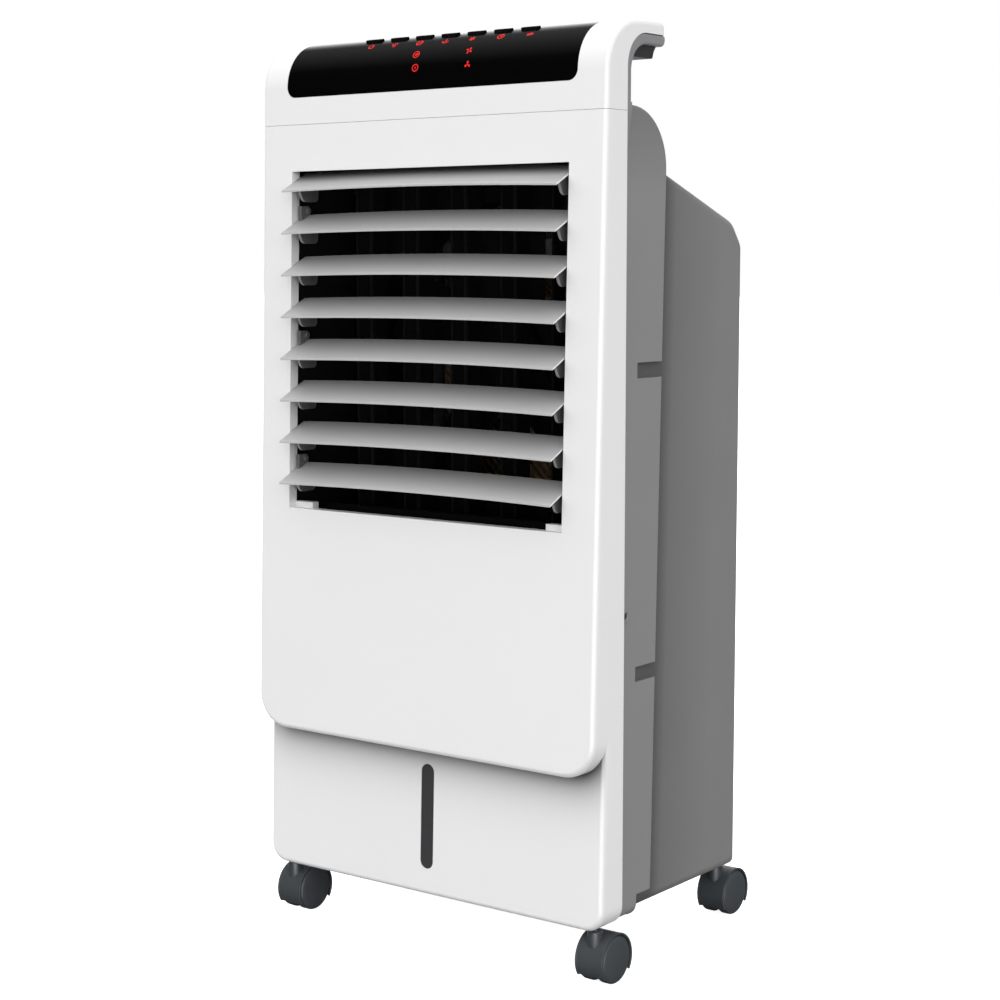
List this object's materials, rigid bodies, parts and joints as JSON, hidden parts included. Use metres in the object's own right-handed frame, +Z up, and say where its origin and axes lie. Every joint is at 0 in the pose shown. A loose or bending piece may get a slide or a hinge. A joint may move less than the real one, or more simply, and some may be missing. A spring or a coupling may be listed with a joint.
{
  "type": "portable evaporative air cooler",
  "caption": "Upright portable air cooler: white louvred front, black key panel, hook handle, grey back with intake grille, slide-out tank, twin-wheel casters.",
  "frame": {"origin": "on the floor under the casters, in the middle of the footprint", "axes": "+Z up, the outlet face looks along -Y, +X is to the right when looking at the outlet"},
  "size_m": [0.36, 0.2873, 0.771],
  "materials": {
    "shell_white": "smooth semi gloss moulding",
    "liner_grey": "satin",
    "grip_grey": "fine grain",
    "panel_black": "high gloss",
    "circuit_green": "solder mask",
    "key_black": "satin",
    "band_grey": "fine grain",
    "back_grey": "fine grain",
    "tray_grey": "moulded",
    "window_smoke": "smoked",
    "duct_black": "moulded",
    "louvre_silver": "satin",
    "link_black": "moulded",
    "vane_black": "moulded",
    "motor_metal": "painted",
    "shroud_black": "moulded",
    "impeller_grey": "moulded",
    "bracket_steel": "pressed and plated",
    "grille_grey": "fine grain",
    "filter_net": "woven net in a frame",
    "pad_paper": "corrugated cellulose",
    "trough_white": "moulded",
    "hose_clear": "soft vinyl",
    "pump_black": "moulded",
    "tank_grey": "moulded",
    "lock_grey": "satin",
    "plug_rubber": "matt",
    "gland_rubber": "matt",
    "stud_chrome": "plated",
    "caster_hood": "satin",
    "caster_wheel": "satin"
  },
  "bodies": {
    "housing": {"front_cover": "shell_white", "top_cover": "shell_white", "handle_liner": "liner_grey", "handle_grip": "grip_grey", "control_panel": "panel_black", "control_board": "circuit_green", "mid_frame": "band_grey", "rear_housing": "back_grey", "rear_panel": "back_grey", "base_tray": "tray_grey", "water_window": "window_smoke", "louvre_frame": "duct_black", "swing_motor": "motor_metal", "fan_shroud": "shroud_black", "fan_motor": "motor_metal", "motor_bracket": "bracket_steel", "cooling_pad": "pad_paper", "water_distributor": "trough_white", "riser_hose": "hose_clear", "power_inlet": "gland_rubber", "side_studs": "stud_chrome"},
    "button_power": {"button_power": "key_black"},
    "button_speed": {"button_speed": "key_black"},
    "button_mode": {"button_mode": "key_black"},
    "button_swing": {"button_swing": "key_black"},
    "button_cool": {"button_cool": "key_black"},
    "button_timer": {"button_timer": "key_black"},
    "button_ion": {"button_ion": "key_black"},
    "louvre_1": {"louvre_1": "louvre_silver"},
    "louvre_2": {"louvre_2": "louvre_silver"},
    "louvre_3": {"louvre_3": "louvre_silver"},
    "louvre_4": {"louvre_4": "louvre_silver"},
    "louvre_5": {"louvre_5": "louvre_silver"},
    "louvre_6": {"louvre_6": "louvre_silver"},
    "louvre_7": {"louvre_7": "louvre_silver"},
    "louvre_8": {"louvre_8": "louvre_silver"},
    "louvre_link": {"louvre_link": "link_black"},
    "vane_1": {"vane_1": "vane_black"},
    "vane_2": {"vane_2": "vane_black"},
    "vane_3": {"vane_3": "vane_black"},
    "vane_4": {"vane_4": "vane_black"},
    "vane_5": {"vane_5": "vane_black"},
    "vane_link": {"vane_link": "link_black"},
    "fan": {"fan_impeller": "impeller_grey"},
    "tank": {"water_tank": "tank_grey", "tank_handle": "lock_grey", "pump": "pump_black"},
    "tank_lock": {"tank_lock": "lock_grey"},
    "drain_plug": {"drain_plug": "plug_rubber"},
    "intake_grille": {"rear_grille": "grille_grey", "dust_filter": "filter_net"},
    "caster_front_left": {"caster_hood_front_left": "caster_hood"},
    "wheels_front_left": {"caster_wheels_front_left": "caster_wheel"},
    "caster_front_right": {"caster_hood_front_right": "caster_hood"},
    "wheels_front_right": {"caster_wheels_front_right": "caster_wheel"},
    "caster_rear_left": {"caster_hood_rear_left": "caster_hood"},
    "wheels_rear_left": {"caster_wheels_rear_left": "caster_wheel"},
    "caster_rear_right": {"caster_hood_rear_right": "caster_hood"},
    "wheels_rear_right": {"caster_wheels_rear_right": "caster_wheel"}
  },
  "joints": [
    {"name": "button_power_press", "type": "slide", "parent": "housing", "child": "button_power", "axis": [0, 0, -1], "range_m": [0, 0.0015], "stiffness_N_per_m": 300, "springref_m": -0.0006},
    {"name": "button_speed_press", "type": "slide", "parent": "housing", "child": "button_speed", "axis": [0, 0, -1], "range_m": [0, 0.0015], "stiffness_N_per_m": 300, "springref_m": -0.0006},
    {"name": "button_mode_press", "type": "slide", "parent": "housing", "child": "button_mode", "axis": [0, 0, -1], "range_m": [0, 0.0015], "stiffness_N_per_m": 300, "springref_m": -0.0006},
    {"name": "button_swing_press", "type": "slide", "parent": "housing", "child": "button_swing", "axis": [0, 0, -1], "range_m": [0, 0.0015], "stiffness_N_per_m": 300, "springref_m": -0.0006},
    {"name": "button_cool_press", "type": "slide", "parent": "housing", "child": "button_cool", "axis": [0, 0, -1], "range_m": [0, 0.0015], "stiffness_N_per_m": 300, "springref_m": -0.0006},
    {"name": "button_timer_press", "type": "slide", "parent": "housing", "child": "button_timer", "axis": [0, 0, -1], "range_m": [0, 0.0015], "stiffness_N_per_m": 300, "springref_m": -0.0006},
    {"name": "button_ion_press", "type": "slide", "parent": "housing", "child": "button_ion", "axis": [0, 0, -1], "range_m": [0, 0.0015], "stiffness_N_per_m": 300, "springref_m": -0.0006},
    {"name": "louvre_1_tilt", "type": "hinge", "parent": "housing", "child": "louvre_1", "pos_m": [0, -0.10879, 0.6444], "axis": [1, 0, 0], "range_deg": [-28, 20]},
    {"name": "louvre_2_tilt", "type": "hinge", "parent": "housing", "child": "louvre_2", "pos_m": [0, -0.10984, 0.60873], "axis": [1, 0, 0], "range_deg": [-28, 20]},
    {"name": "louvre_3_tilt", "type": "hinge", "parent": "housing", "child": "louvre_3", "pos_m": [0, -0.11089, 0.57306], "axis": [1, 0, 0], "range_deg": [-28, 20]},
    {"name": "louvre_4_tilt", "type": "hinge", "parent": "housing", "child": "louvre_4", "pos_m": [0, -0.11194, 0.53739], "axis": [1, 0, 0], "range_deg": [-28, 20]},
    {"name": "louvre_5_tilt", "type": "hinge", "parent": "housing", "child": "louvre_5", "pos_m": [0, -0.11299, 0.50172], "axis": [1, 0, 0], "range_deg": [-28, 20]},
    {"name": "louvre_6_tilt", "type": "hinge", "parent": "housing", "child": "louvre_6", "pos_m": [0, -0.11405, 0.46605], "axis": [1, 0, 0], "range_deg": [-28, 20]},
    {"name": "louvre_7_tilt", "type": "hinge", "parent": "housing", "child": "louvre_7", "pos_m": [0, -0.1151, 0.43038], "axis": [1, 0, 0], "range_deg": [-28, 20]},
    {"name": "louvre_8_tilt", "type": "hinge", "parent": "housing", "child": "louvre_8", "pos_m": [0, -0.11615, 0.39471], "axis": [1, 0, 0], "range_deg": [-28, 20]},
    {"name": "louvre_link_hang", "type": "hinge", "parent": "louvre_1", "child": "louvre_link", "pos_m": [0.1365, -0.09879, 0.6414], "axis": [1, 0, 0], "range_deg": [-20, 28]},
    {"name": "vane_1_swing", "type": "hinge", "parent": "housing", "child": "vane_1", "pos_m": [-0.104, -0.06625, 0.5059], "axis": [0, 0, 1], "range_deg": [-35, 35]},
    {"name": "vane_2_swing", "type": "hinge", "parent": "housing", "child": "vane_2", "pos_m": [-0.052, -0.06625, 0.5059], "axis": [0, 0, 1], "range_deg": [-35, 35]},
    {"name": "vane_3_swing", "type": "hinge", "parent": "housing", "child": "vane_3", "pos_m": [0, -0.06625, 0.5059], "axis": [0, 0, 1], "range_deg": [-35, 35]},
    {"name": "vane_4_swing", "type": "hinge", "parent": "housing", "child": "vane_4", "pos_m": [0.052, -0.06625, 0.5059], "axis": [0, 0, 1], "range_deg": [-35, 35]},
    {"name": "vane_5_swing", "type": "hinge", "parent": "housing", "child": "vane_5", "pos_m": [0.104, -0.06625, 0.5059], "axis": [0, 0, 1], "range_deg": [-35, 35]},
    {"name": "vane_link_hang", "type": "hinge", "parent": "vane_1", "child": "vane_link", "pos_m": [-0.104, -0.05125, 0.3652], "axis": [0, 0, 1], "range_deg": [-35, 35]},
    {"name": "fan_spin", "type": "hinge", "parent": "housing", "child": "fan", "pos_m": [0, -0.01525, 0.5059], "axis": [0, 1, 0], "continuous": true},
    {"name": "tank_slide", "type": "slide", "parent": "housing", "child": "tank", "axis": [0, 1, 0], "range_m": [0, 0.16]},
    {"name": "tank_lock_turn", "type": "hinge", "parent": "housing", "child": "tank_lock", "pos_m": [0, 0.11525, 0.19], "axis": [0, 1, 0], "range_deg": [0, 90]},
    {"name": "drain_plug_pull", "type": "slide", "parent": "tank", "child": "drain_plug", "axis": [0, 1, 0], "range_m": [0, 0.02]},
    {"name": "intake_grille_pull", "type": "slide", "parent": "housing", "child": "intake_grille", "axis": [0, 1, 0], "range_m": [0, 0.05]},
    {"name": "caster_front_left_swivel", "type": "hinge", "parent": "housing", "child": "caster_front_left", "pos_m": [0.1638, -0.10695, 0.048], "axis": [0, 0, 1], "continuous": true},
    {"name": "wheels_front_left_roll", "type": "hinge", "parent": "caster_front_left", "child": "wheels_front_left", "pos_m": [0.1638, -0.09445, 0.02], "axis": [1, 0, 0], "continuous": true},
    {"name": "caster_front_right_swivel", "type": "hinge", "parent": "housing", "child": "caster_front_right", "pos_m": [-0.1638, -0.10695, 0.048], "axis": [0, 0, 1], "continuous": true},
    {"name": "wheels_front_right_roll", "type": "hinge", "parent": "caster_front_right", "child": "wheels_front_right", "pos_m": [-0.1638, -0.09445, 0.02], "axis": [1, 0, 0], "continuous": true},
    {"name": "caster_rear_left_swivel", "type": "hinge", "parent": "housing", "child": "caster_rear_left", "pos_m": [0.1464, 0.10915, 0.048], "axis": [0, 0, 1], "continuous": true},
    {"name": "wheels_rear_left_roll", "type": "hinge", "parent": "caster_rear_left", "child": "wheels_rear_left", "pos_m": [0.1464, 0.12165, 0.02], "axis": [1, 0, 0], "continuous": true},
    {"name": "caster_rear_right_swivel", "type": "hinge", "parent": "housing", "child": "caster_rear_right", "pos_m": [-0.1464, 0.10915, 0.048], "axis": [0, 0, 1], "continuous": true},
    {"name": "wheels_rear_right_roll", "type": "hinge", "parent": "caster_rear_right", "child": "wheels_rear_right", "pos_m": [-0.1464, 0.12165, 0.02], "axis": [1, 0, 0], "continuous": true}
  ],
  "couplings": [
    {"joint": "louvre_2_tilt", "follows": "louvre_1_tilt", "ratio": 1},
    {"joint": "louvre_3_tilt", "follows": "louvre_1_tilt", "ratio": 1},
    {"joint": "louvre_4_tilt", "follows": "louvre_1_tilt", "ratio": 1},
    {"joint": "louvre_5_tilt", "follows": "louvre_1_tilt", "ratio": 1},
    {"joint": "louvre_6_tilt", "follows": "louvre_1_tilt", "ratio": 1},
    {"joint": "louvre_7_tilt", "follows": "louvre_1_tilt", "ratio": 1},
    {"joint": "louvre_8_tilt", "follows": "louvre_1_tilt", "ratio": 1},
    {"joint": "louvre_link_hang", "follows": "louvre_1_tilt", "ratio": -1},
    {"joint": "vane_2_swing", "follows": "vane_1_swing", "ratio": 1},
    {"joint": "vane_3_swing", "follows": "vane_1_swing", "ratio": 1},
    {"joint": "vane_4_swing", "follows": "vane_1_swing", "ratio": 1},
    {"joint": "vane_5_swing", "follows": "vane_1_swing", "ratio": 1},
    {"joint": "vane_link_hang", "follows": "vane_1_swing", "ratio": -1}
  ]
}
